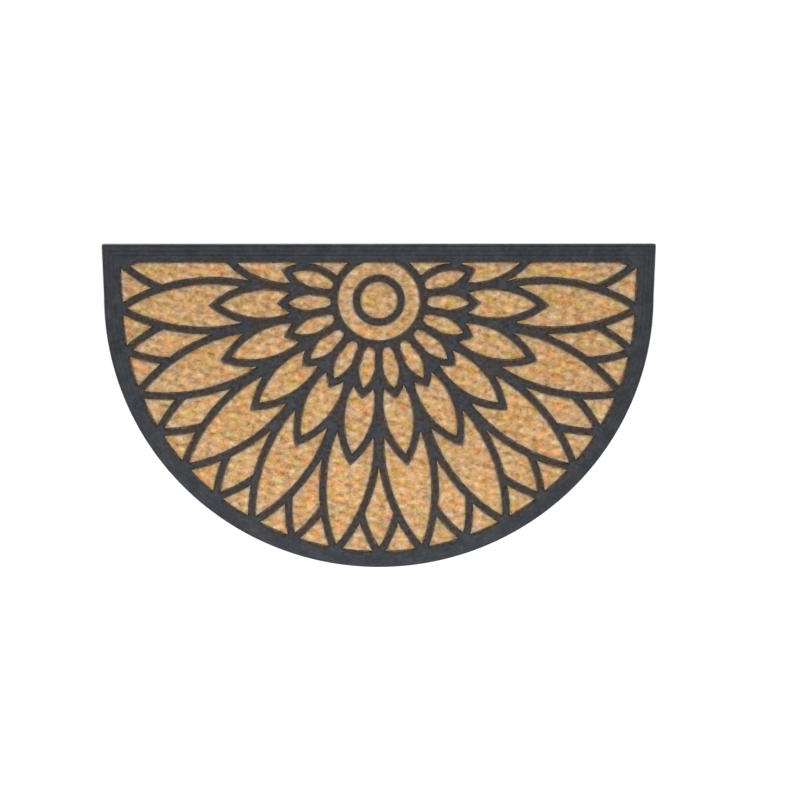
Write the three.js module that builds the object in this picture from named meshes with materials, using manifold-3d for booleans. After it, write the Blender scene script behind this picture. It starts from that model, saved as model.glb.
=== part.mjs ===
import * as THREE from "three";
import { mergeVertices } from "three/addons/utils/BufferGeometryUtils.js";
import Module from "manifold-3d";

// A half-round doormat: one panel of coir matting whose pile stands in the openings of
// a rubber moulding, a ribbed bevelled border with a lattice of petals inside it. The
// small ring in the flower's eye is a rubber island of its own on the matting.
// Millimetres, +Z up, straight back edge towards +Y, origin under the middle of the mat.

// The mat as a whole
const WIDTH = 750; // across the back corners
const DEPTH = 445; // from the back edge to the front of the arc
const ARC_RADIUS = 372; // outer edge of the arc
const ARC_CENTRE_Y = DEPTH / -2 + ARC_RADIUS;

// The border
const BORDER_SIDE = 25.4; // widths of the border, from its outer edge to the coir
const BORDER_FRONT = 23.4;
const BORDER_BACK = 24.2;
const BORDER_HEIGHT = 9; // top of the inner rim and of the lattice
const EDGE_HEIGHT = 2.5; // thickness left at the outer edge
const RIM = 0.2; // share of the border's width that is flat, beside the coir
const OUTER_CORNER = 2.5; // roundings of the back corners, outside and at the coir
const INNER_CORNER = 1.5;
const RIB_COUNT = 3; // ribs that run along the bevel
const RIB_HEIGHT = 0.7;
const RIB_LEAD = 0.85; // rib pitches from the outer edge to the first rib
const RIB_TAIL = 0.55; // rib pitches from the last rib to the rim
const RIB_FOOT = 0.62; // share of the rib pitch that a rib's foot takes
const RIB_CREST = 0.24; // share that its crest takes

// The coir panel
const BASE_THICKNESS = 6; // woven back of the matting, below the lattice
const PILE_TOP = 9.5; // the pile stands a little above the rubber
const TUCK = 8; // how far the panel's edge reaches in under the border
const CLEARANCE = 0.3; // between the coir and the rubber

// The flower: petals in fans about one centre, each fan over the one before it
const FLOWER_Y = 146.5; // centre of the flower
const PITCH = 19.6; // degrees between two petals of a fan
const STRAND = 10.3; // width of a lattice strand
const FANS = [
  { petals: 11, foot: 137, tip: 359, halfWidth: 35.5, steps: 10 },
  { petals: 10, foot: 100, tip: 361, halfWidth: 39.3, steps: 12 },
  { petals: 12, foot: 78, tip: 231, halfWidth: 29.3, steps: 10 },
  { petals: 12, foot: 45, tip: 138, halfWidth: 21, steps: 8 },
];
const COLLAR = { outer: 66, inner: 55.3 }; // the ring that the petals grow from
const EYE = { outer: 35.5, inner: 25 }; // the island, with coir round and inside it

// Steps of the curves
const ARC_STEPS = 80;
const CORNER_STEPS = 4;
const RING_STEPS = 48;

const wasm = await Module();
wasm.setup();

function solid(geometry) {
  const bare = geometry.clone();
  bare.deleteAttribute("normal");
  bare.deleteAttribute("uv");
  const merged = mergeVertices(bare, 1e-4);
  return new wasm.Manifold(
    new wasm.Mesh({
      numProp: 3,
      vertProperties: new Float32Array(merged.attributes.position.array),
      triVerts: new Uint32Array(merged.index.array),
    }),
  );
}

function geometryOf(body) {
  const mesh = body.getMesh();
  const geometry = new THREE.BufferGeometry();
  geometry.setAttribute("position", new THREE.BufferAttribute(mesh.vertProperties, 3));
  geometry.setIndex(new THREE.BufferAttribute(mesh.triVerts, 1));
  geometry.computeVertexNormals();
  return geometry;
}

// A flat plate of the given outline between two heights.
function plate(points, bottom, top) {
  const geometry = new THREE.ExtrudeGeometry(new THREE.Shape(points), {
    depth: top - bottom,
    bevelEnabled: false,
  });
  geometry.translate(0, 0, bottom);
  return solid(geometry);
}

// The D-shaped loop at a share of the border's width: 0 is its outer edge, 1 its inner
// edge. It runs anticlockwise from the left end of the arc, by the front, to the back.
function outline(share) {
  const radius = ARC_RADIUS - share * BORDER_SIDE;
  const centreY = ARC_CENTRE_Y - share * (BORDER_SIDE - BORDER_FRONT);
  const cornerX = WIDTH / 2 - share * BORDER_SIDE;
  const backY = DEPTH / 2 - share * BORDER_BACK;
  const rounding = THREE.MathUtils.lerp(OUTER_CORNER, INNER_CORNER, share);
  const points = [];
  for (let i = 0; i <= ARC_STEPS; i++) {
    const angle = Math.PI + (Math.PI * i) / ARC_STEPS;
    const x = radius * Math.cos(angle);
    points.push(new THREE.Vector2(x, centreY + radius * Math.sin(angle)));
  }
  const side = new THREE.Vector2(cornerX - radius, backY - centreY).setLength(rounding);
  const corner = new THREE.QuadraticBezierCurve(
    new THREE.Vector2(cornerX - side.x, backY - side.y),
    new THREE.Vector2(cornerX, backY),
    new THREE.Vector2(cornerX - rounding, backY),
  ).getPoints(CORNER_STEPS);
  const mirrored = corner.map((point) => new THREE.Vector2(-point.x, point.y));
  return points.concat(corner, mirrored.reverse());
}

// The border's section as rows of [share of the width, height], from the outer edge
// over the ribbed bevel and the rim, down to the panel's tucked edge and back.
function borderSection() {
  const bevel = 1 - RIM;
  const heightAt = (share) =>
    EDGE_HEIGHT + ((BORDER_HEIGHT - EDGE_HEIGHT) * share) / bevel;
  const rows = [
    [0, 0],
    [0, EDGE_HEIGHT],
  ];
  const pitch = bevel / (RIB_LEAD + RIB_COUNT - 1 + RIB_TAIL);
  for (let rib = 0; rib < RIB_COUNT; rib++) {
    const middle = (rib + RIB_LEAD) * pitch;
    const foot = (RIB_FOOT * pitch) / 2;
    const crest = (RIB_CREST * pitch) / 2;
    rows.push([middle - foot, heightAt(middle - foot)]);
    rows.push([middle - crest, heightAt(middle - crest) + RIB_HEIGHT]);
    rows.push([middle + crest, heightAt(middle + crest) + RIB_HEIGHT]);
    rows.push([middle + foot, heightAt(middle + foot)]);
  }
  const tucked = 1 - TUCK / BORDER_SIDE;
  const under = BASE_THICKNESS + CLEARANCE;
  rows.push([bevel, BORDER_HEIGHT], [1, BORDER_HEIGHT]);
  rows.push([1, under], [tucked, under], [tucked, 0]);
  return rows;
}

// The section carried round the D-shaped loop, as one closed ring.
function borderRing() {
  const section = borderSection();
  const loops = section.map(([share]) => outline(share));
  const count = loops[0].length;
  const positions = [];
  loops.forEach((loop, row) => {
    loop.forEach((point) => positions.push(point.x, point.y, section[row][1]));
  });
  const faces = [];
  for (let row = 0; row < section.length; row++) {
    const next = (row + 1) % section.length;
    for (let i = 0; i < count; i++) {
      const j = (i + 1) % count;
      const a = row * count + i;
      const b = row * count + j;
      const c = next * count + j;
      const d = next * count + i;
      faces.push(a, b, c, a, c, d);
    }
  }
  const geometry = new THREE.BufferGeometry();
  geometry.setAttribute("position", new THREE.Float32BufferAttribute(positions, 3));
  geometry.setIndex(faces);
  return solid(geometry);
}

// A petal is the lens between two equal arcs that cross at its foot and its tip.
// inset moves both arcs inwards, so that the strand between two insets is even.
function petalPoints(fan, index, inset) {
  const half = (fan.tip - fan.foot) / 2;
  const middle = (fan.tip + fan.foot) / 2;
  const width = fan.halfWidth;
  const arc = (half * half + width * width) / (2 * width);
  const reach = Math.acos((arc - width) / (arc - inset));
  const turn = THREE.MathUtils.degToRad((index - (fan.petals - 1) / 2) * PITCH);
  const points = [];
  for (const side of [1, -1]) {
    for (let i = 0; i < fan.steps; i++) {
      const angle = reach * ((2 * i) / fan.steps - 1) * side;
      const along = middle + (arc - inset) * Math.sin(angle);
      const across = side * ((arc - inset) * Math.cos(angle) - (arc - width));
      const x = across * Math.cos(turn) + along * Math.sin(turn);
      const y = across * Math.sin(turn) - along * Math.cos(turn);
      points.push(new THREE.Vector2(x, FLOWER_Y + y));
    }
  }
  return points;
}

function circlePoints(radius) {
  const points = [];
  for (let i = 0; i < RING_STEPS; i++) {
    const angle = (2 * Math.PI * i) / RING_STEPS;
    points.push(
      new THREE.Vector2(radius * Math.cos(angle), FLOWER_Y + radius * Math.sin(angle)),
    );
  }
  return points;
}

// The openings of the lattice as one solid between two heights. gap narrows them all.
function openings(gap, bottom, top) {
  const field = plate(outline(1 + gap / BORDER_SIDE), bottom, top);
  let open = field;
  for (const fan of FANS) {
    const index = [...Array(fan.petals).keys()];
    const leaves = index.map((i) => plate(petalPoints(fan, i, -gap), bottom, top));
    const hearts = index.map((i) =>
      plate(petalPoints(fan, i, STRAND + gap), bottom, top),
    );
    for (const leaf of leaves) {
      open = open.subtract(leaf);
    }
    hearts.forEach((heart, i) => {
      let clear = heart;
      if (i > 0) {
        clear = clear.subtract(leaves[i - 1]);
      }
      if (i < fan.petals - 1) {
        clear = clear.subtract(leaves[i + 1]);
      }
      open = open.add(clear);
    });
  }
  open = open.subtract(plate(circlePoints(COLLAR.outer + gap), bottom, top));
  open = open.add(plate(circlePoints(COLLAR.inner - gap), bottom, top));
  return open.intersect(field);
}

// The eye ring between two heights, made wider by gap on both sides.
function eyeRing(gap, bottom, top) {
  const disc = plate(circlePoints(EYE.outer + gap), bottom, top);
  return disc.subtract(plate(circlePoints(EYE.inner - gap), bottom - 1, top + 1));
}

function rubberMoulding() {
  const under = BASE_THICKNESS + CLEARANCE;
  const web = plate(outline(1 - RIM / 2), under, BORDER_HEIGHT);
  const through = openings(0, under - 1, BORDER_HEIGHT + 1);
  return borderRing().add(web.subtract(through));
}

function coirPanel() {
  const edge = 1 - (TUCK - CLEARANCE) / BORDER_SIDE;
  const base = plate(outline(edge), 0, BASE_THICKNESS);
  const pile = openings(CLEARANCE, BASE_THICKNESS - 1, PILE_TOP);
  const channel = eyeRing(CLEARANCE, BASE_THICKNESS, PILE_TOP + 1);
  return base.add(pile).subtract(channel);
}

const rubber = { color: 0x404449, roughness: 0.75, metalness: 0 };

const moulding = new THREE.Mesh(
  geometryOf(rubberMoulding()),
  new THREE.MeshStandardMaterial(rubber),
);
moulding.name = "rubber_moulding";

const eye = new THREE.Mesh(
  geometryOf(eyeRing(0, BASE_THICKNESS + CLEARANCE, BORDER_HEIGHT)),
  new THREE.MeshStandardMaterial(rubber),
);
eye.name = "rubber_eye_ring";

const coir = new THREE.Mesh(
  geometryOf(coirPanel()),
  new THREE.MeshStandardMaterial({ color: 0xcb9f6b, roughness: 0.95, metalness: 0 }),
);
coir.name = "coir_panel";

const mat = new THREE.Group();
mat.add(moulding, eye, coir);

export default mat;
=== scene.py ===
import math

import bmesh
import bpy
import numpy as np
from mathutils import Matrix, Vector, geometry, kdtree, noise


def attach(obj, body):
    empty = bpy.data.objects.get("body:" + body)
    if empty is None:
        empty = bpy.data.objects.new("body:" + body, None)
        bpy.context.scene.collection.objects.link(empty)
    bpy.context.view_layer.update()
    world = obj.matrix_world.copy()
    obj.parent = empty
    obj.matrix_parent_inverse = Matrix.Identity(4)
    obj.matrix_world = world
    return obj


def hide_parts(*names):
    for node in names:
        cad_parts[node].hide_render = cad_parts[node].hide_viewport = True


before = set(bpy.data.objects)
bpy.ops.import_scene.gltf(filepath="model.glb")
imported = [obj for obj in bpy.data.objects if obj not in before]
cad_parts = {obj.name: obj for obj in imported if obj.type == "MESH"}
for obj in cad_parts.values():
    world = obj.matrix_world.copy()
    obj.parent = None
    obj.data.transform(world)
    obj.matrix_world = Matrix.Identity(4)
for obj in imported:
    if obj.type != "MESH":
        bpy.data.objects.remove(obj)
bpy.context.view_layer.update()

# The coir panel: one piece of coir matting cut to the half round. It lies on the floor,
# its edge is tucked under the rubber border, and its trimmed pile stands up in the
# openings between the rubber petals. Sizes are in millimetres where nothing else is said.
MM = 0.001
WIDTH, DEPTH = 750.0, 445.0
ARC_RADIUS = 372.0
ARC_CENTRE_Y = ARC_RADIUS - DEPTH / 2
BORDER_SIDE, BORDER_FRONT, BORDER_BACK = 25.4, 23.4, 24.2
OUTER_CORNER, INNER_CORNER = 2.5, 1.5
ARC_STEPS, SIDE_STEPS, CORNER_STEPS, BACK_STEPS = 230, 12, 5, 140

FLOWER_Y = 146.5
PETAL_PITCH = math.radians(19.6)
STRAND = 10.3
PETAL_FANS = (  # petals, foot, tip, half width; the back fan comes first
    (11, 137.0, 359.0, 35.5),
    (10, 100.0, 361.0, 39.3),
    (12, 78.0, 231.0, 29.3),
    (12, 45.0, 138.0, 21.0),
)
COLLAR_OUTER, COLLAR_INNER = 66.0, 55.3
EYE_OUTER, EYE_INNER = 35.5, 25.0
EYE_OUTER_STEPS, EYE_INNER_STEPS = 84, 60

MATTING = 6.0  # woven back of the panel
TUCK = 8.0  # how far the border reaches in over the panel's edge
CLEARANCE = 0.35  # between the coir and the rubber
TUCK_SHARE = 1 - (TUCK - CLEARANCE) / BORDER_SIDE
PILE_BED = 8.3  # height at which the fibres stand so close that they look solid
PILE_EDGE_DROP, PILE_EDGE_WIDTH = 1.3, 3.6
UNEVEN = (  # height of the bed's bumps, their spacing across and along, and their layer
    (0.6, 12.0, 8.0, 0.0),
    (0.5, 6.5, 5.0, 9.0),
)
BED_SMOOTHNESS = 50  # degrees between faces, above which an edge is sharp

SAME_PLACE, SAME_HEIGHT = 2e-6, 1e-5  # metres between two points of the CAD's top
LEVEL, UPRIGHT = 0.99, 0.1  # how much of a face's normal points up, at least and at most
LOOP_STEP = 2.8  # spacing of points along the edge of an opening
CORNER_BEND = math.radians(20)  # an edge that turns more than this has a corner there
LONGEST_MOVE = 0.8  # a point further than this from the true curve stays where it is
EDGE_WAVER, WAVER_LENGTH, WAVER_LAYER = 0.6, 7.0, 3.0  # how far an edge strays, how often
BED_RINGS = (1.0, 2.2)  # distances of the rings of points beside each edge
BED_GRID_PITCH, BED_GRID_SEED, BED_GRID_START = 3.1, 11, 3.4
GRID_STRAY = 0.28  # how far a point of a grid strays, as a share of the pitch
FAN_STEP = math.radians(24)  # between the points of a ring where it rounds a corner
RING_SLACK = 0.12  # how much nearer than its own distance an edge may be to such a point
FAR = 9.0  # stands for any distance at which an edge is no longer felt

MAP_MARGIN = 20
SHARE_REACH, SHARE_CUT = 3.2, 12  # how far the share of coir carries over an edge, for the dust on the rubber and the painted shade at the coir's edges, and its limit


def outline(share):
    """The half-round loop at a share of the border's width, from 0 outside to 1 inside."""
    radius = ARC_RADIUS - share * BORDER_SIDE
    centre_y = ARC_CENTRE_Y - share * (BORDER_SIDE - BORDER_FRONT)
    corner_x = WIDTH / 2 - share * BORDER_SIDE
    back_y = DEPTH / 2 - share * BORDER_BACK
    rounding = OUTER_CORNER + share * (INNER_CORNER - OUTER_CORNER)
    turn = np.linspace(math.pi, 2 * math.pi, ARC_STEPS + 1)
    arc = np.c_[radius * np.cos(turn), centre_y + radius * np.sin(turn)]
    foot, corner = np.array([radius, centre_y]), np.array([corner_x, back_y])
    up = (corner - foot) / np.linalg.norm(corner - foot)
    start, end = corner - up * rounding, corner - np.array([rounding, 0.0])
    t = np.linspace(0, 1, SIDE_STEPS + 1)[1:-1, None]
    side = foot + t * (start - foot)
    t = np.linspace(0, 1, CORNER_STEPS + 1)[:, None]
    bend = (1 - t) ** 2 * start + 2 * t * (1 - t) * corner + t**2 * end
    t = np.linspace(0, 1, BACK_STEPS + 1)[1:-1, None]
    back = end + t * (end * [-1, 1] - end)
    half = np.r_[side, bend]
    return np.r_[arc, half, back, half[::-1] * [-1, 1]]


def inside_outline(x, y, share):
    """How far inside that loop a point lies; it is negative outside it."""
    radius = ARC_RADIUS - share * BORDER_SIDE
    centre_y = ARC_CENTRE_Y - share * (BORDER_SIDE - BORDER_FRONT)
    rise = DEPTH / 2 - share * BORDER_BACK - centre_y
    run = WIDTH / 2 - share * BORDER_SIDE - radius
    side = ((radius - abs(x)) * rise + (y - centre_y) * run) / math.hypot(rise, run)
    front = radius - np.hypot(x, y - centre_y)
    return np.minimum(np.where(y < centre_y, front, side), centre_y + rise - y)


def inside_opening(x, y):
    """How far inside an opening of the petal lattice a point lies."""
    field = inside_outline(x, y, 1)
    depth = field
    for petals, foot, tip, half_width in PETAL_FANS:
        middle, half = (tip + foot) / 2, (tip - foot) / 2
        arc = (half**2 + half_width**2) / (2 * half_width)
        leaves = []
        for i in range(petals):
            turn = (i - (petals - 1) / 2) * PETAL_PITCH
            along = x * math.sin(turn) - (y - FLOWER_Y) * math.cos(turn)
            across = abs(x * math.cos(turn) + (y - FLOWER_Y) * math.sin(turn))
            leaves.append(arc - np.hypot(along - middle, across + arc - half_width))
        depth = np.minimum(depth, -np.max(leaves, axis=0))
        for i, leaf in enumerate(leaves):
            heart = leaf - STRAND
            for j in (i - 1, i + 1):
                if 0 <= j < petals:
                    heart = np.minimum(heart, -leaves[j])
            depth = np.maximum(depth, heart)
    radius = np.hypot(x, y - FLOWER_Y)
    depth = np.minimum(depth, radius - COLLAR_OUTER)
    depth = np.maximum(depth, COLLAR_INNER - radius)
    return np.minimum(depth, field)


def inside_pile(x, y):
    """How far inside the standing pile a point lies: the eye ring takes its own channel."""
    radius = np.hypot(x, y - FLOWER_Y)
    return np.minimum(
        inside_opening(x, y), np.maximum(radius - EYE_OUTER, EYE_INNER - radius)
    )


def unit(d):
    """Each row of d at a length of one."""
    return d / np.maximum(np.linalg.norm(d, axis=1), 1e-9)[:, None]


def slope(inside, p):
    """Unit vectors that point further inside, one for each row of p."""
    step = 0.05
    x, y = p[:, 0], p[:, 1]
    return unit(
        np.c_[
            inside(x + step, y) - inside(x - step, y),
            inside(x, y + step) - inside(x, y - step),
        ]
    )


def side_of(p):
    """Unit vectors to the left of a loop at each of its points, which is inside it."""
    d = np.roll(p, -1, axis=0) - np.roll(p, 1, axis=0)
    return unit(np.c_[-d[:, 1], d[:, 0]])


def area_of(p):
    """The area inside a loop; it is negative where the loop runs clockwise."""
    x, y = p[:, 0], p[:, 1]
    return 0.5 * np.sum(x * np.roll(y, -1) - y * np.roll(x, -1))


def opening_loops():
    """The edges of the lattice's openings, finely stepped, and which points are corners.
    They are the CAD moulding's edges between its level top and its upright walls."""
    bm = bmesh.new()
    bm.from_mesh(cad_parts["rubber_moulding"].data)
    bmesh.ops.remove_doubles(bm, verts=bm.verts, dist=SAME_PLACE)
    top = max(v.co.z for v in bm.verts)
    beside = {}
    for edge in bm.edges:
        lie = [abs(f.normal.z) for f in edge.link_faces]
        if max(lie) > LEVEL and min(lie) < UPRIGHT:
            if all(top - v.co.z < SAME_HEIGHT for v in edge.verts):
                a, b = edge.verts
                beside.setdefault(a.index, []).append(b.index)
                beside.setdefault(b.index, []).append(a.index)
    places = {v.index: (v.co.x / MM, v.co.y / MM) for v in bm.verts}
    bm.free()
    loops = []
    left = set(beside)
    while left:
        start = min(left)
        walk, previous, here = [start], None, start
        while True:
            onward = [n for n in beside[here] if n != previous]
            previous, here = here, onward[0]
            if here == start:
                break
            walk.append(here)
        left -= set(walk)
        loops.append(fine_loop(np.array([places[i] for i in walk])))
    return loops


def fine_loop(p):
    """A loop in small steps, each moved onto the true curve between the corners and then
    a little off it, as pressed rubber strays. It runs anticlockwise."""
    after, before = np.roll(p, -1, axis=0) - p, p - np.roll(p, 1, axis=0)
    turn = before[:, 0] * after[:, 1] - before[:, 1] * after[:, 0]
    bend = np.abs(np.arctan2(turn, (before * after).sum(1)))
    fine, corner = [], []
    for i in range(len(p)):
        steps = max(1, round(np.linalg.norm(after[i]) / LOOP_STEP))
        t = np.arange(steps)[:, None] / steps
        fine.append(p[i] + t * after[i])
        corner += [bend[i] > CORNER_BEND] + [False] * (steps - 1)
    fine, corner = np.concatenate(fine), np.array(corner)
    for _ in range(2):
        away = inside_opening(fine[:, 0], fine[:, 1])
        move = -away[:, None] * slope(inside_opening, fine)
        move[corner | (abs(away) > LONGEST_MOVE)] = 0
        fine = fine + move
    wave = np.array(
        [noise.noise(Vector((x, y, WAVER_LAYER)) / WAVER_LENGTH) for x, y in fine]
    )
    fine = fine + EDGE_WAVER * wave[:, None] * slope(inside_opening, fine)
    if area_of(fine) < 0:
        return fine[::-1], corner[::-1]
    return fine, corner


def circle(radius, steps):
    """A ring about the flower's centre, and that none of its points is a corner."""
    turn = np.arange(steps) * 2 * math.pi / steps
    ring = np.c_[radius * np.cos(turn), FLOWER_Y + radius * np.sin(turn)]
    return ring, np.zeros(steps, bool)


def rings_beside(loops, distances, direction):
    """Points at set distances from the loops, left out where another edge is nearer, with
    the distance as a third column. direction is 1 into the pile and -1 into the rubber."""
    dense = []
    for p, _ in loops:
        q = np.roll(p, -1, axis=0)
        dense += [p, p + (q - p) / 4, p + (q - p) / 2, p + (q - p) * 3 / 4]
    dense = np.concatenate(dense)
    tree = kdtree.KDTree(len(dense))
    for i, (x, y) in enumerate(dense):
        tree.insert((x, y, 0), i)
    tree.balance()
    found = []
    for distance in distances:
        for p, corner in loops:
            smooth = ~(corner | np.roll(corner, 1) | np.roll(corner, -1))
            places = (p + direction * distance * side_of(p))[smooth]
            turn = np.arange(0, 2 * math.pi, FAN_STEP)
            star = distance * np.c_[np.cos(turn), np.sin(turn)]
            places = np.r_[places, *[p[i] + star for i in np.flatnonzero(corner)]]
            for x, y in places:
                if tree.find((x, y, 0))[2] > distance - RING_SLACK:
                    found.append((x, y, distance))
    found = np.array(found)
    inward = inside_pile(found[:, 0], found[:, 1]) > 0
    return found[inward == (direction > 0)]


def jittered_grid(pitch, seed):
    """Points over the whole mat at about the given pitch."""
    rng = np.random.default_rng(seed)
    x, y = np.meshgrid(
        np.arange(-WIDTH / 2, WIDTH / 2, pitch), np.arange(-DEPTH / 2, DEPTH / 2, pitch)
    )
    p = np.c_[x.ravel(), y.ravel()]
    return p + rng.uniform(-GRID_STRAY, GRID_STRAY, p.shape) * pitch


def triangulate(loops, extra):
    """Triangles over the loops and the extra points, and a number for each patch that
    the loops part from its neighbours. Also gives each corner's place in the input."""
    places = np.concatenate([*loops, extra])
    edges = []
    start = 0
    for p in loops:
        n = len(p)
        edges += [(start + i, start + (i + 1) % n) for i in range(n)]
        start += n
    made = geometry.delaunay_2d_cdt([Vector(p) for p in places], edges, [], 0, 1e-5)
    spots, lines, faces, from_points, from_lines, _ = made
    fixed = {frozenset(line) for line, old in zip(lines, from_lines) if old}
    source = np.array([min(old) if old else -1 for old in from_points])
    patch = list(range(len(faces)))

    def root(i):
        while patch[i] != i:
            patch[i] = patch[patch[i]]
            i = patch[i]
        return i

    across = {}
    for i, face in enumerate(faces):
        for a, b in zip(face, face[1:] + face[:1]):
            key = frozenset((a, b))
            if key in fixed:
                continue
            if key in across:
                patch[root(i)] = root(across[key])
            across[key] = i
    patch = np.array([root(i) for i in range(len(faces))])
    return np.array(spots)[:, :2], np.array(faces), patch, source


def patches_where(inside, spots, faces, patch):
    """Which faces lie in patches whose deepest face is inside."""
    middle = spots[faces].mean(1)
    depth = inside(middle[:, 0], middle[:, 1])
    keep = np.zeros(len(faces), bool)
    for name in np.unique(patch):
        mine = patch == name
        if depth[mine][np.argmax(abs(depth[mine]))] > 0:
            keep |= mine
    return keep


def edge_distances(source, loops, extra):
    """Each corner's distance from the loops: none on them, else its extra point's own."""
    count = sum(len(p) for p in loops)
    distance = np.zeros(len(source))
    loose = source >= count
    distance[loose] = extra[source[loose] - count, 2]
    return distance


def without_loose(points, faces):
    """The points that some face uses, and the faces in their new numbers."""
    used = np.unique(np.concatenate([np.ravel(f) for f in faces]))
    renumber = np.full(len(points), -1)
    renumber[used] = np.arange(len(used))
    return points[used], [[int(renumber[i]) for i in f] for f in faces]


def coir_share_map():
    """On a 1 mm grid, the share of coir among what lies within a few millimetres."""
    x = np.arange(-WIDTH / 2 - MAP_MARGIN, WIDTH / 2 + MAP_MARGIN)
    y = np.arange(-DEPTH / 2 - MAP_MARGIN, DEPTH / 2 + MAP_MARGIN)
    coir = (inside_pile(*np.meshgrid(x, y)) > 0).astype(float)
    reach = np.exp(-0.5 * (np.arange(-SHARE_CUT, SHARE_CUT + 1) / SHARE_REACH) ** 2)
    reach /= reach.sum()
    for _ in range(2):
        coir = np.apply_along_axis(np.convolve, 0, coir, reach, "same").T
    return coir


share_map = coir_share_map()


def coir_share(p):
    """That share at points of the mat, read between the map's grid points."""
    u, v = p[:, 0] + WIDTH / 2 + MAP_MARGIN, p[:, 1] + DEPTH / 2 + MAP_MARGIN
    i, j = np.floor(u).astype(int), np.floor(v).astype(int)
    u, v = u - i, v - j
    return (
        share_map[j, i] * (1 - u) * (1 - v)
        + share_map[j, i + 1] * u * (1 - v)
        + share_map[j + 1, i] * (1 - u) * v
        + share_map[j + 1, i + 1] * u * v
    )


def in_scene(name, data):
    """A new object of the given data, linked into the scene."""
    made = bpy.data.objects.new(name, data)
    bpy.context.scene.collection.objects.link(made)
    return made


def mesh_object(name, points, faces, smooth_angle=None, dusted=True):
    """An object in the row frame from points in millimetres. A dusted one carries the
    share of coir round each of its points, for its finish: dust on the rubber, painted
    shade at the coir's edges."""
    points = np.asarray(points)
    mesh = bpy.data.meshes.new(name)
    mesh.from_pydata((points * MM).tolist(), [], [list(f) for f in faces])
    if dusted:
        layer = mesh.attributes.new("coir_share", "FLOAT", "POINT")
        layer.data.foreach_set("value", np.asarray(coir_share(points), np.float32))
    mesh.polygons.foreach_set("use_smooth", [True] * len(mesh.polygons))
    if smooth_angle:
        mesh.set_sharp_from_angle(angle=math.radians(smooth_angle))
    mesh.update()
    return in_scene(name, mesh)


lattice_loops = opening_loops()
eye_outer, eye_inner = circle(EYE_OUTER, EYE_OUTER_STEPS), circle(EYE_INNER, EYE_INNER_STEPS)
pad_loops = [(p + CLEARANCE * side_of(p), c) for p, c in lattice_loops]

pile_rings = rings_beside([*pad_loops, eye_inner], BED_RINGS, 1)
eye_rings = np.array(
    [(x, y, d) for d in BED_RINGS for x, y in circle(EYE_OUTER + d, EYE_OUTER_STEPS)[0]]
)
bed_grid = jittered_grid(BED_GRID_PITCH, BED_GRID_SEED)
deep = inside_pile(bed_grid[:, 0], bed_grid[:, 1]) > BED_GRID_START
bed_grid = np.c_[bed_grid[deep], np.full(deep.sum(), FAR)]
bed_extra = np.r_[pile_rings, eye_rings, bed_grid]
bed_edge = outline(TUCK_SHARE)
bed_input = [bed_edge] + [p for p, _ in [*pad_loops, eye_outer, eye_inner]]
spots, faces, patch, source = triangulate(bed_input, bed_extra[:, :2])
in_panel = patches_where(lambda x, y: inside_outline(x, y, TUCK_SHARE), spots, faces, patch)
in_pile = patches_where(inside_pile, spots, faces, patch) & in_panel

unevenness = np.array(
    [
        sum(
            height * noise.noise(Vector((x / across, y / along, layer)))
            for height, across, along, layer in UNEVEN
        )
        for x, y in spots
    ]
)
near_edge = np.clip(1 - edge_distances(source, bed_input, bed_extra) / PILE_EDGE_WIDTH, 0, 1)
bed_height = PILE_BED - PILE_EDGE_DROP * near_edge**2 + unevenness * (1 - near_edge)
pile_bed = np.c_[spots, bed_height]
pile_faces = faces[in_pile]
n = len(spots)
matting = np.c_[spots, np.full(n, MATTING)]
underside = np.c_[spots, np.zeros(n)]
coir_faces = [
    *pile_faces.tolist(),
    *(faces[in_panel & ~in_pile] + n).tolist(),
    *(faces[in_panel][:, ::-1] + 2 * n).tolist(),
]
place_of = {s: i for i, s in enumerate(source) if s >= 0}
start = 0
for number, p in enumerate(bed_input):
    ring = [place_of[start + i] for i in range(len(p))]
    start += len(p)
    onward = ring[1:] + ring[:1]
    low, high = (2 * n, n) if number == 0 else (n, 0)
    # The pile lies outside the eye's outer ring, and inside every other one.
    pairs = zip(onward, ring) if p is eye_outer[0] else zip(ring, onward)
    coir_faces += [(a + low, b + low, b + high, a + high) for a, b in pairs]
coir_panel = mesh_object(
    "coir_matting",
    *without_loose(np.r_[pile_bed, matting, underside], coir_faces),
    smooth_angle=BED_SMOOTHNESS,
)


def fill(tree, node, inputs):
    """Set a node's inputs, each by its name, or by i and its number, to a value or to
    another node's output."""
    for key, value in inputs.items():
        key = key.replace("_", " ")
        socket = node.inputs[int(key[1:]) if key[1:].isdigit() else key]
        if isinstance(value, bpy.types.NodeSocket):
            tree.links.new(value, socket)
        else:
            socket.default_value = value


def adder(tree):
    """A function that adds a node to the tree and gives its outputs."""

    def add(kind, settings=(), **inputs):
        made = tree.nodes.new(kind)
        for key, value in dict(settings).items():
            setattr(made, key, value)
        fill(tree, made, inputs)
        return made.outputs

    return add


def shader(name):
    """A new material, a function that adds a node to it, and one that sets its surface."""
    material = bpy.data.materials.new(name)
    material.use_nodes = True
    tree = material.node_tree

    def surface(**inputs):
        fill(tree, tree.nodes["Principled BSDF"], inputs)

    return material, adder(tree), surface


def maths(add, operation, *values):
    """The result of one step of arithmetic on numbers."""
    inputs = {f"i{i}": value for i, value in enumerate(values)}
    return add("ShaderNodeMath", {"operation": operation}, **inputs)[0]


def vectors(add, operation, *values):
    """The outputs of one step of arithmetic on vectors."""
    inputs = {f"i{i}": value for i, value in enumerate(values)}
    return add("ShaderNodeVectorMath", {"operation": operation}, **inputs)


def scaled(add, value, low, high, to_low=0.0, to_high=1.0):
    """A value that runs from to_low to to_high while the given one goes from low to high."""
    return add("ShaderNodeMapRange", i0=value, i1=low, i2=high, i3=to_low, i4=to_high)[0]


def clouds(add, place, scale, detail, roughness):
    """The outputs of a cloudy noise, with so many clouds per unit of place."""
    return add(
        "ShaderNodeTexNoise", Vector=place, Scale=scale, Detail=detail, Roughness=roughness
    )


def attribute(add, name):
    """A number that the mesh carries at its points."""
    return add("ShaderNodeAttribute", {"attribute_name": name})["Fac"]


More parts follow.
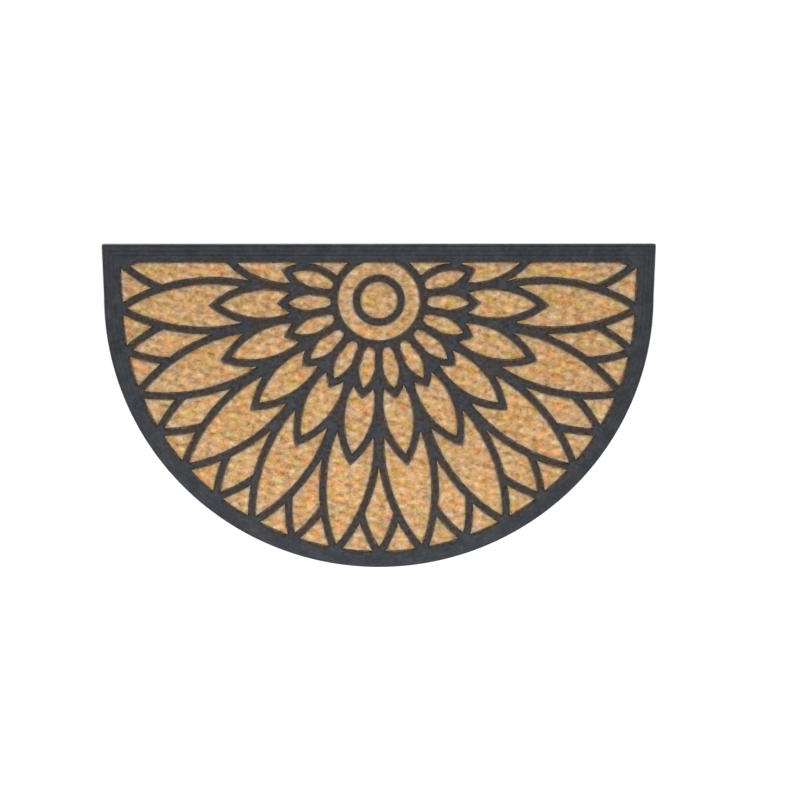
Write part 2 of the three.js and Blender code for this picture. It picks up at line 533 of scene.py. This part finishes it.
def ramp(add, factor, stops):
    """Colours along a factor; stops are (place, (red, green, blue))."""
    colour = add("ShaderNodeValToRGB", Fac=factor)["Color"]
    elements = colour.node.color_ramp.elements
    while len(elements) < len(stops):
        elements.new(0.5)
    for element, (place, shade) in zip(elements, stops):
        element.position = place
        element.color = (*shade, 1.0)
    return colour


HUSK_TONES = (  # place from dark to light, colour
    (0.05, (0.190, 0.094, 0.037)),
    (0.25, (0.446, 0.246, 0.099)),
    (0.50, (0.650, 0.411, 0.193)),
    (0.72, (0.806, 0.548, 0.282)),
    (0.95, (0.910, 0.740, 0.480)),
)
WEAVE = (  # waves of the woven tufts: turns per metre across and along, start, strength
    (-24.5, -74.8, 1.75, 0.061),
    (47.8, 0.8, -2.48, 0.036),
    (23.3, -74.0, -0.85, 0.034),
)
WEAVE_STRAY = 0.021  # metres by which the tufts stray from their places
STRAY_CLOUDS = (18.0, 1.0, 0.5)  # clouds per metre, detail, roughness
CLUMP_CLOUDS, CLUMP_SPREAD = (160.0, 184.0, 60.0), (0.05, 0.95, 0.03, 0.97)
# the matting's fine tone reaches only 0.7 of the fibres' range: painted shade deep in the pile
FINE_CLOUDS, FINE_TONE_AND_SHADE = (1300.0, 1300.0, 1300.0), (0.2, 0.9, 0.0, 0.7)
TONE_STRENGTH, TONE_SHIFT = 0.34, -0.145  # how much one fibre differs from the next
PATCH_TINTS = (  # orange, straw and pale patches: clouds per metre, their shift, colour
    ((70.0, 80.0, 60.0), 7.0, (1.08, 0.85, 0.66)),
    ((66.0, 80.0, 60.0), 13.0, (0.94, 1.05, 0.72)),
    ((74.0, 74.0, 60.0), 29.0, (0.95, 1.01, 1.27)),
)
PATCH_SPREAD = (0.48, 0.72)
EDGE_SHADE_TINTS = (  # painted shade where the pile meets the rubber, greyer and then darker: share of coir round a point where the tint starts and is full, colour
    (0.985, 0.80, (0.88, 1.02, 1.36)),
    (0.80, 0.52, (0.70, 0.74, 0.84)),
)
FIBRE_KINDS = 9.0  # how often the kind of fibre goes round as its tone goes up
KIND_TINTS = (  # spread of the kinds that are tinted, colour
    ((0.0, 0.4, 1.0, 0.0), (1.06, 0.90, 0.72)),
    ((0.6, 1.0, 0.0, 1.0), (0.98, 1.06, 1.25)),
)
CLOUD_ROUGHNESS = 0.55  # how ragged all the coir's clouds are
COIR_ROUGHNESS, COIR_SPECULAR = (0.3, 0.7, 0.62, 0.88), 0.3
MATTED_CLOUDS, MATTED_DEPTH = (500.0, 1400.0, 500.0), 0.0012  # metres


def coir_finish(name, loose_fibre):
    """Coir in clumps of straw, gold and brown husk, lighter and darker with the woven
    tufts. Loose fibres differ one by one, and the matting under them by fine clouds,
    held darker as painted shade deep in the pile. Towards the rubber the coir is
    painted greyer and darker as shade."""
    material, add, surface = shader(name)
    place = add("ShaderNodeTexCoord")["Object"]

    def cloud(per_metre, detail, shift=0.0):
        spot = add(
            "ShaderNodeMapping", i0=place, Location=(shift, shift, 0.0), Scale=per_metre
        )["Vector"]
        return clouds(add, spot, 1.0, detail, CLOUD_ROUGHNESS)["Fac"]

    def tinted(base, factor, colour):
        settings = {"data_type": "RGBA", "blend_type": "MULTIPLY"}
        return add("ShaderNodeMix", settings, i0=factor, i6=base, i7=(*colour, 1.0))[2]

    fine = cloud(FINE_CLOUDS, detail=2.0)
    stray = clouds(add, place, *STRAY_CLOUDS)["Color"]
    stray = vectors(add, "SUBTRACT", stray, (0.5, 0.5, 0.5))["Vector"]
    reach = (WEAVE_STRAY, WEAVE_STRAY, 0.0)
    woven = vectors(add, "MULTIPLY_ADD", stray, reach, place)["Vector"]
    weave = 0.0
    for across, along, start, strength in WEAVE:
        turns = (2 * math.pi * across, 2 * math.pi * along, 0.0)
        turn = maths(add, "ADD", vectors(add, "DOT_PRODUCT", woven, turns)["Value"], start)
        weave = maths(add, "MULTIPLY_ADD", maths(add, "COSINE", turn), strength, weave)
    # the matting's tone sits lower than the loose fibres': painted shade deep in the pile
    tone = attribute(add, "tone") if loose_fibre else scaled(add, fine, *FINE_TONE_AND_SHADE)
    clump = cloud(CLUMP_CLOUDS, detail=2.0)
    shade = maths(add, "ADD", scaled(add, clump, *CLUMP_SPREAD), weave)
    light = maths(add, "MULTIPLY_ADD", tone, TONE_STRENGTH, TONE_SHIFT)
    husk = ramp(add, maths(add, "ADD", shade, light), HUSK_TONES)
    for per_metre, shift, colour in PATCH_TINTS:
        patches = scaled(add, cloud(per_metre, detail=1.0, shift=shift), *PATCH_SPREAD)
        husk = tinted(husk, patches, colour)
    near = attribute(add, "coir_share")
    # painted shade: the coir is tinted greyer and darker towards the rubber
    for starts, full, colour in EDGE_SHADE_TINTS:
        husk = tinted(husk, scaled(add, near, starts, full), colour)
    if loose_fibre:
        kind = maths(add, "FRACT", maths(add, "MULTIPLY", tone, FIBRE_KINDS))
        for spread, colour in KIND_TINTS:
            husk = tinted(husk, scaled(add, kind, *spread), colour)
    surface(
        Base_Color=husk,
        Roughness=scaled(add, fine, *COIR_ROUGHNESS),
        Specular_IOR_Level=COIR_SPECULAR,
    )
    if not loose_fibre:
        fibres = cloud(MATTED_CLOUDS, detail=3.0)
        bump = add("ShaderNodeBump", Strength=0.9, Distance=MATTED_DEPTH, Height=fibres)
        surface(Normal=bump[0])
    return material


coir_panel.data.materials.append(coir_finish("coir_matting_finish", loose_fibre=False))
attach(coir_panel, "root")
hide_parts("coir_panel")


# The pile's loose fibres: husk fibres trimmed level with the rubber. Most lie pressed
# flat at all angles, some are arched and some stand as cut ends. They are rooted in the
# matting and reach a little over the rubber at each opening's edge.
PILE_SIZES = {  # how many fibres of each kind, then their sizes in metres
    "Straws per m2": 520000.0,
    "Arched per m2": 52000.0,
    "Ends per m2": 180000.0,
    "Straw Length": 6.6 * MM,
    "Straw Radius": 0.19 * MM,
    "Straw Rise": 0.55 * MM,
    "Straw Bend": 0.5 * MM,
    "Arched Length": 9.0 * MM,
    "Arch": 0.55 * MM,
    "End Length": 2.1 * MM,
    "Radius": 0.16 * MM,
}
STRAW_TURNS = ((-3.1, -0.13, -1.2), (3.1, 0.13, 1.2))  # least and most, in radians
END_TURNS = ((-0.75, -0.75, 0.0), (0.75, 0.75, 6.283))
ARCHED_TURNS = ((-0.08, -0.08, -0.75), (0.08, 0.08, 0.75))
STRAW_SCALES, END_SCALES, ARCHED_SCALES = (0.5, 1.35), (0.7, 1.25), (0.55, 1.3)
ARCH_DIP, ARCH_CREST = -0.9, 2.6  # heights of an arched fibre's ends and of its crest
ARCH_DRIFT = 0.22  # how far its crest leans, as a share of half its length
STRAW_SEED, END_SEED, ARCHED_SEED = 80, 10, 50
FIRST_ZONE_SEED = 7
PILE_ZONES = ("left", "mid_left", "inner_left", "inner_right", "mid_right", "right")


def new_tree(name, sockets):
    """A geometry tree with one geometry in and out, and named inputs."""
    tree = bpy.data.node_groups.new(name, "GeometryNodeTree")
    face = tree.interface
    face.new_socket("Geometry", in_out="INPUT", socket_type="NodeSocketGeometry")
    for label, kind in sockets:
        face.new_socket(label, in_out="INPUT", socket_type="NodeSocket" + kind)
    face.new_socket("Geometry", in_out="OUTPUT", socket_type="NodeSocketGeometry")
    entry, leave = tree.nodes.new("NodeGroupInput"), tree.nodes.new("NodeGroupOutput")
    add = adder(tree)

    def end(made, finish):
        whole = add("GeometryNodeRealizeInstances", Geometry=made)["Geometry"]
        dressed = add("GeometryNodeSetMaterial", Geometry=whole, Material=finish)["Geometry"]
        tree.links.new(dressed, leave.inputs[0])

    return tree, entry.outputs, add, end


def grown(source, name, tree, values):
    """The tree's result on an object as a plain mesh object; the source goes away."""
    modifier = source.modifiers.new(name, "NODES")
    modifier.node_group = tree
    for item in tree.interface.items_tree:
        if item.in_out == "INPUT" and item.name in values:
            modifier[item.identifier] = values[item.name]
    bpy.context.view_layer.update()
    ready = source.evaluated_get(bpy.context.evaluated_depsgraph_get())
    mesh = bpy.data.meshes.new_from_object(ready)
    mesh.name = name
    made = in_scene(name, mesh)
    bpy.data.objects.remove(source)
    return made


def pile_tree():
    """Straws, cut ends and arched fibres scattered over the bed of the pile."""
    sizes = [(label, "Float") for label in PILE_SIZES]
    tree, given, add, end = new_tree(
        "coir_pile", [*sizes, ("Seed", "Int"), ("Finish", "Material")]
    )

    def point(**coordinates):
        return add("ShaderNodeCombineXYZ", **coordinates)[0]

    def number(low, high, seed):
        return add(
            "FunctionNodeRandomValue", {"data_type": "FLOAT"}, i2=low, i3=high, Seed=seed
        )[1]

    def scattered(density, seed, fibre, rise, turns, scales):
        points = add(
            "GeometryNodeDistributePointsOnFaces",
            Mesh=given["Geometry"],
            Density=density,
            Seed=maths(add, "ADD", given["Seed"], seed),
        )["Points"]
        raised = add(
            "GeometryNodeSetPosition",
            Geometry=points,
            Offset=point(Z=number(0.0, rise, seed + 4)),
        )["Geometry"]
        turn = add(
            "FunctionNodeRandomValue",
            {"data_type": "FLOAT_VECTOR"},
            i0=turns[0],
            i1=turns[1],
            Seed=seed + 1,
        )[0]
        placed = add(
            "GeometryNodeInstanceOnPoints",
            Points=raised,
            Instance=fibre,
            Rotation=turn,
            Scale=number(*scales, seed + 2),
        )["Instances"]
        return add(
            "GeometryNodeStoreNamedAttribute",
            {"data_type": "FLOAT", "domain": "INSTANCE"},
            Geometry=placed,
            Name="tone",
            Value=number(0.0, 1.0, seed + 3),
        )["Geometry"]

    # A straw is a long spindle laid flat, bowed sideways by the square of the way out.
    spindle = add("GeometryNodeMeshUVSphere", Segments=3, Rings=2, Radius=1.0)["Mesh"]
    half_straw = maths(add, "MULTIPLY", given["Straw Length"], 0.5)
    thick = given["Straw Radius"]
    spindle = add(
        "GeometryNodeTransform", Geometry=spindle, Scale=point(X=thick, Y=thick, Z=half_straw)
    )["Geometry"]
    straw = add("GeometryNodeTransform", Geometry=spindle, Rotation=(0.0, math.pi / 2, 0.0))
    place = add("ShaderNodeSeparateXYZ", Vector=add("GeometryNodeInputPosition")[0])["X"]
    way_out = maths(add, "DIVIDE", place, half_straw)
    bow = maths(add, "MULTIPLY", maths(add, "MULTIPLY", way_out, way_out), given["Straw Bend"])
    straw = add("GeometryNodeSetPosition", Geometry=straw["Geometry"], Offset=point(Y=bow))
    straws = scattered(
        given["Straws per m2"],
        STRAW_SEED,
        straw["Geometry"],
        given["Straw Rise"],
        STRAW_TURNS,
        STRAW_SCALES,
    )

    # A cut end is a thin spike that stands up.
    spike = add(
        "GeometryNodeMeshCone",
        Vertices=3,
        Radius_Top=0.0,
        Radius_Bottom=given["Radius"],
        Depth=given["End Length"],
    )["Mesh"]
    ends = scattered(given["Ends per m2"], END_SEED, spike, 0.0, END_TURNS, END_SCALES)

    # An arched fibre dips into the bed at both ends and leans a little in the middle.
    half = maths(add, "MULTIPLY", given["Arched Length"], 0.5)
    back = maths(add, "MULTIPLY", half, -1.0)
    dip = maths(add, "MULTIPLY", given["Arch"], ARCH_DIP)
    crest = maths(add, "MULTIPLY", given["Arch"], ARCH_CREST)
    drift = maths(add, "MULTIPLY", half, ARCH_DRIFT)
    arch = add(
        "GeometryNodeCurveQuadraticBezier",
        Resolution=3,
        Start=point(X=back, Z=dip),
        Middle=point(Y=drift, Z=crest),
        End=point(X=half, Z=dip),
    )["Curve"]
    section = add("GeometryNodeCurvePrimitiveCircle", Resolution=3, Radius=given["Radius"])
    strand = add(
        "GeometryNodeCurveToMesh", Curve=arch, Profile_Curve=section["Curve"], Fill_Caps=True
    )["Mesh"]
    arched = scattered(
        given["Arched per m2"], ARCHED_SEED, strand, 0.0, ARCHED_TURNS, ARCHED_SCALES
    )

    every = add("GeometryNodeJoinGeometry", Geometry=ends)["Geometry"]
    for fibres in (arched, straws):
        tree.links.new(fibres, every.node.inputs[0])
    end(every, given["Finish"])
    return tree


pile_growth = pile_tree()
pile_colour = coir_finish("coir_pile_finish", loose_fibre=True)
middle_x = spots[pile_faces].mean(1)[:, 0]
zone_edges = np.quantile(middle_x, np.linspace(0, 1, len(PILE_ZONES) + 1))
zone_edges[0], zone_edges[-1] = -WIDTH, WIDTH
for number, zone in enumerate(PILE_ZONES):
    low, high = zone_edges[number], zone_edges[number + 1]
    mine = pile_faces[(middle_x >= low) & (middle_x < high)]
    ground = mesh_object("pile_ground_" + zone, pile_bed, mine.tolist())
    pile = grown(
        ground,
        "coir_pile_" + zone,
        pile_growth,
        {**PILE_SIZES, "Seed": FIRST_ZONE_SEED + number, "Finish": pile_colour},
    )
    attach(pile, "root")


# The rubber moulding: one piece of black-grey rubber, pressed hot onto the matting. Its
# border slopes down to a thin outer edge, and its petal lattice has rounded strands
# whose shoulders sink between the pads of pile.
RUBBER_TOP, STRAND_UNDER = 9.0, 6.3
EDGE_HEIGHT = 2.5
WELD_SHARE = 0.85  # where the border goes over into the lattice, on the border's flat rim
TUCKED_SHARE = 1 - TUCK / BORDER_SIDE
BORDER_SLOPE = (  # share of the border's width, height
    (0.0, EDGE_HEIGHT - 0.7),
    (0.010, EDGE_HEIGHT - 0.22),
    (0.030, EDGE_HEIGHT + 0.1),
    (0.065, EDGE_HEIGHT + 0.5),
    (0.2, 4.15),
    (0.4, 5.8),
    (0.6, 7.4),
    (0.74, 8.52),
    (0.78, 8.8),
    (0.82, 8.96),
    (WELD_SHARE, RUBBER_TOP),
)
BORDER_UNDERSIDE = (  # the same, from the lattice's underside round to the outer edge
    (WELD_SHARE, STRAND_UNDER),
    (TUCKED_SHARE, STRAND_UNDER),
    (TUCKED_SHARE, 0.0),
    (0.006, 0.0),
    (0.0, 0.25),
)
SHOULDER_DROP, SHOULDER_WIDTH, SHOULDER_POWER = 1.7, 4.7, 2.4
STRAND_RINGS, STRAND_RING_MARGIN = (0.35, 0.9, 1.8, 3.0, 4.5), 0.5
WEB_GRID_PITCH, WEB_GRID_SEED, WEB_GRID_START, WEB_GRID_MARGIN = 5.0, 23, 5.2, 2
RUBBER_SMOOTHNESS = 48  # degrees between faces, above which an edge is sharp


def shoulder(distance):
    """How far the rubber's top has sunk at a distance from the coir."""
    t = np.clip(1 - distance / SHOULDER_WIDTH, 0, 1)
    return SHOULDER_DROP * (1 - np.sqrt(np.maximum(0, 1 - t**SHOULDER_POWER)))


def inside_weld(x, y):
    """How far inside the line between the border and the lattice a point lies."""
    return inside_outline(x, y, WELD_SHARE)


def band(row, onward):
    """Four-sided faces between two rings of points."""
    return list(zip(row, row[1:] + row[:1], onward[1:] + onward[:1], onward))


weld_loop = outline(WELD_SHARE)
rubber_input = [weld_loop] + [p for p, _ in lattice_loops]


def rubber_patch(extra):
    """Triangles over the lattice: their points, faces, places in the input, distances."""
    spots, faces, patch, source = triangulate(rubber_input, extra[:, :2])
    within = patches_where(inside_weld, spots, faces, patch)
    open_here = patches_where(inside_opening, spots, faces, patch)
    distance = edge_distances(source, rubber_input, extra)
    distance[(source >= 0) & (source < len(weld_loop))] = FAR
    return spots, faces[within & ~open_here], source, distance


rings = rings_beside(lattice_loops, STRAND_RINGS, -1)
x, y = rings[:, 0], rings[:, 1]
rings = rings[(inside_weld(x, y) > STRAND_RING_MARGIN) & (inside_opening(x, y) < 0)]
grid = jittered_grid(WEB_GRID_PITCH, WEB_GRID_SEED)
x, y = grid[:, 0], grid[:, 1]
grid = grid[(inside_opening(x, y) < -WEB_GRID_START) & (inside_weld(x, y) > WEB_GRID_MARGIN)]
web_extra = np.r_[rings, np.c_[grid, np.full(len(grid), FAR)]]

top_spots, top_faces, top_source, top_distance = rubber_patch(web_extra)
low_spots, low_faces, low_source, _ = rubber_patch(np.zeros((0, 3)))
top_points = np.c_[top_spots, RUBBER_TOP - shoulder(top_distance)]
low_points = np.c_[low_spots, np.full(len(low_spots), STRAND_UNDER)]
top_place = {s: i for i, s in enumerate(top_source) if s >= 0}
low_place = {s: i + len(top_points) for i, s in enumerate(low_source) if s >= 0}
rubber_faces = top_faces.tolist() + (low_faces[:, ::-1] + len(top_points)).tolist()
start = len(weld_loop)
for p, _ in lattice_loops:
    numbers = range(start, start + len(p))
    rubber_faces += band([top_place[i] for i in numbers], [low_place[i] for i in numbers])
    start += len(p)

rubber_points = [top_points, low_points]
first = len(top_points) + len(low_points)
rows = [[low_place[i] for i in range(len(weld_loop))]]
for share, height in (BORDER_UNDERSIDE + BORDER_SLOPE)[1:-1]:
    loop = outline(share)
    rows.append(list(range(first, first + len(loop))))
    first += len(loop)
    rubber_points.append(np.c_[loop, np.full(len(loop), height)])
rows.append([top_place[i] for i in range(len(weld_loop))])
for row, onward in zip(rows, rows[1:]):
    rubber_faces += band(row, onward)
rubber = mesh_object(
    "rubber_border_and_petals",
    *without_loose(np.concatenate(rubber_points), rubber_faces),
    smooth_angle=RUBBER_SMOOTHNESS,
)

RUBBER_CLOUDS = {  # clouds per metre, detail, roughness
    "body": (60.0, 3.0, 0.6),
    "patches": (38.0, 2.0, 0.5),
    "specks": (420.0, 6.0, 0.8),
    "mottle": (210.0, 3.0, 0.65),
    "grain": (1100.0, 3.0, 0.65),
}
RUBBER_TONES = (
    (0.25, (0.0255, 0.0290, 0.0350)),
    (0.5, (0.0345, 0.0385, 0.0455)),
    (0.75, (0.0490, 0.0530, 0.0605)),
)
DUST_TONES = (  # share of coir round a point, colour of the dust there
    (0.10, (0.0485, 0.0290, 0.0165)),
    (0.17, (0.0470, 0.0268, 0.0145)),
    (0.27, (0.0500, 0.0298, 0.0175)),
    (0.38, (0.0980, 0.0650, 0.0410)),
    (0.50, (0.1330, 0.0915, 0.0550)),
)
PATCH_REACH, SPECK_REACH, REACH_SHIFT = 0.30, 0.70, 0.50  # what strays from that share
DUST_STARTS, DUST_COVERS = 0.055, 0.20
MOTTLE_FULL = 0.06  # share of coir at which the mottling is full
MOTTLE_SWING, MOTTLE_LEVEL, MOTTLE_FLOOR = (1.1, 2.3), (1.0, 0.93), 0.2
RUBBER_ROUGHNESS, RUBBER_SPECULAR = (0.3, 0.7, 0.58, 0.8), 0.12
GRAIN_STRENGTH, GRAIN_DEPTH = 0.35, 0.0004  # metres


def rubber_finish():
    """Moulded rubber: charcoal with a blue cast, fine-grained, dusted brown by the coir."""
    material, add, surface = shader("moulded_rubber_finish")
    place = add("ShaderNodeTexCoord")["Object"]

    def cloud(kind):
        return clouds(add, place, *RUBBER_CLOUDS[kind])["Fac"]

    near = attribute(add, "coir_share")
    reach = maths(add, "MULTIPLY_ADD", cloud("patches"), PATCH_REACH, near)
    reach = maths(add, "MULTIPLY_ADD", cloud("specks"), SPECK_REACH, reach)
    reach = maths(add, "SUBTRACT", reach, REACH_SHIFT)
    stain = scaled(add, reach, DUST_STARTS, DUST_COVERS)
    body, dust = ramp(add, cloud("body"), RUBBER_TONES), ramp(add, reach, DUST_TONES)
    dusty = add("ShaderNodeMix", {"data_type": "RGBA"}, i0=stain, i6=body, i7=dust)[2]
    mottle = maths(add, "SUBTRACT", cloud("mottle"), 0.5)
    swing = scaled(add, near, 0.0, MOTTLE_FULL, *MOTTLE_SWING)
    level = scaled(add, near, 0.0, MOTTLE_FULL, *MOTTLE_LEVEL)
    worn = maths(add, "MULTIPLY_ADD", mottle, swing, level)
    worn = maths(add, "MAXIMUM", worn, MOTTLE_FLOOR)
    grain = cloud("grain")
    surface(
        Base_Color=add("ShaderNodeVectorMath", {"operation": "SCALE"}, i0=dusty, Scale=worn)[0],
        Roughness=scaled(add, grain, *RUBBER_ROUGHNESS),
        Specular_IOR_Level=RUBBER_SPECULAR,
        Normal=add(
            "ShaderNodeBump", Strength=GRAIN_STRENGTH, Distance=GRAIN_DEPTH, Height=grain
        )[0],
    )
    return material


rubber_look = rubber_finish()
rubber.data.materials.append(rubber_look)
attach(rubber, "root")
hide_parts("rubber_moulding")


# The ribs of the border: three low beads of the same moulding that run along the slope,
# all the way round the mat, to hold a shoe's sole.
RIB_SHARES = (0.2, 0.435, 0.67)
RIB_HALF_WIDTH, RIB_HEIGHT = 1.75, 0.6
RIB_ROUND_STEPS = 10


def rib_tree():
    """A flattened round bead carried along each path."""
    tree, given, add, end = new_tree(
        "border_ribs", (("Half Width", "Float"), ("Height", "Float"), ("Finish", "Material"))
    )
    path = add("GeometryNodeMeshToCurve", Mesh=given["Geometry"])["Curve"]
    path = add("GeometryNodeSetCurveNormal", {"mode": "Z_UP"}, Curve=path)["Curve"]
    section = add("GeometryNodeCurvePrimitiveCircle", Resolution=RIB_ROUND_STEPS, Radius=1.0)
    size = add("ShaderNodeCombineXYZ", X=given["Half Width"], Y=given["Height"], Z=1.0)[0]
    bead = add("GeometryNodeTransform", Geometry=section["Curve"], Scale=size)["Geometry"]
    swept = add("GeometryNodeCurveToMesh", Curve=path, Profile_Curve=bead)["Mesh"]
    end(swept, given["Finish"])
    return tree


rib_points, rib_edges = [], []
for share in RIB_SHARES:
    loop = outline(share)
    first = len(rib_points)
    height = float(np.interp(share, *zip(*BORDER_SLOPE)))
    rib_points += [(x * MM, y * MM, height * MM) for x, y in loop]
    rib_edges += [(first + i, first + (i + 1) % len(loop)) for i in range(len(loop))]
rib_paths = bpy.data.meshes.new("rib_paths")
rib_paths.from_pydata(rib_points, rib_edges, [])
ribs = grown(
    in_scene("rib_paths", rib_paths),
    "border_ribs",
    rib_tree(),
    {"Half Width": RIB_HALF_WIDTH * MM, "Height": RIB_HEIGHT * MM, "Finish": rubber_look},
)
ribs.data.polygons.foreach_set("use_smooth", [True] * len(ribs.data.polygons))
rib_share = ribs.data.attributes.new("coir_share", "FLOAT", "POINT")
rib_share.data.foreach_set("value", [0.0] * len(ribs.data.vertices))
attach(ribs, "root")


# The eye ring: a small rubber ring of its own in the middle of the flower, pressed onto
# the matting with coir inside and round it, and with the strands' rounded top.
EYE_PROFILE = (0.0, 0.04, 0.1, 0.2, 0.34, 0.5, 0.66, 0.8, 0.9, 0.96, 1.0)
EYE_STEPS = 120

eye_width = EYE_OUTER - EYE_INNER
eye_rows = [(EYE_OUTER, STRAND_UNDER)]
for share in EYE_PROFILE:
    inset = share * eye_width
    height = RUBBER_TOP - shoulder(min(inset, eye_width - inset))
    eye_rows.append((EYE_OUTER - inset, float(height)))
eye_rows.append((EYE_INNER, STRAND_UNDER))
eye_points, rows = [], []
for radius, height in eye_rows:
    rows.append(list(range(len(eye_points), len(eye_points) + EYE_STEPS)))
    eye_points += [(x, y, height) for x, y in circle(radius, EYE_STEPS)[0]]
eye_faces = []
for row, onward in zip(rows, rows[1:] + rows[:1]):
    eye_faces += band(row, onward)
eye_ring = mesh_object("rubber_eye", eye_points, eye_faces, smooth_angle=RUBBER_SMOOTHNESS)
eye_ring.data.materials.append(rubber_look)
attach(eye_ring, "root")
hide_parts("rubber_eye_ring")


# The floor: a plain white studio floor that runs on past every view.
FLOOR_REACH = 30000
FLOOR_COLOUR = (0.94, 0.94, 0.94, 1)

floor_corners = [
    (x * FLOOR_REACH, y * FLOOR_REACH, 0) for x, y in ((-1, -1), (1, -1), (1, 1), (-1, 1))
]
floor = mesh_object("studio_floor", floor_corners, [(0, 1, 2, 3)], dusted=False)
floor_material, _, floor_surface = shader("studio_floor_finish")
floor_surface(Base_Color=FLOOR_COLOUR, Roughness=0.9, Specular_IOR_Level=0.0)
floor.data.materials.append(floor_material)


# The light: a white room, a soft lamp close over the front of the mat and one far behind.
ROOM_COLOUR, ROOM_STRENGTH = (1.0, 1.0, 1.0, 1), 0.72
LAMPS = (  # name, place and width in metres, watts
    ("key_lamp", (-0.12, -0.6, 1.2), 0.6, 11.5),
    ("back_lamp", (1.6, 2.4, 3.0), 2.2, 30),
)

world = bpy.data.worlds.new("studio")
bpy.context.scene.world = world
world.use_nodes = True
room = world.node_tree.nodes["Background"]
fill(world.node_tree, room, {"Color": ROOM_COLOUR, "Strength": ROOM_STRENGTH})
for name, place, width, watts in LAMPS:
    light = bpy.data.lights.new(name, "AREA")
    light.shape, light.size, light.energy = "DISK", width, watts
    lamp = in_scene(name, light)
    lamp.location = place
    lamp.rotation_mode = "QUATERNION"
    lamp.rotation_quaternion = (-Vector(place)).to_track_quat("-Z", "Y")
    lamp.visible_camera = False
bpy.context.scene.view_settings.view_transform = "Standard"


# The camera: high over the mat with a long lens, leaning ten degrees from straight down.
LEAN = math.radians(10.4)
TURN = math.radians(-0.04)
DISTANCE = 24.0  # metres
AIM = Vector((0.0286, 0.0095, 0.009))  # metres
MM_PER_PIXEL = 1.3555
IMAGE_WIDTH = 800
SENSOR_WIDTH = 36.0

camera_data = bpy.data.cameras.new("camera")
camera_data.sensor_width = SENSOR_WIDTH
camera_data.lens = DISTANCE / MM / MM_PER_PIXEL * SENSOR_WIDTH / IMAGE_WIDTH
camera_data.clip_end = 100.0
camera = in_scene("camera", camera_data)
lean_y = math.sin(LEAN) * Vector((-math.sin(TURN), math.cos(TURN), 0.0))
camera.location = AIM + DISTANCE * (lean_y + Vector((0.0, 0.0, math.cos(LEAN))))
camera.rotation_euler = (-LEAN, 0.0, TURN)
bpy.context.scene.camera = camera
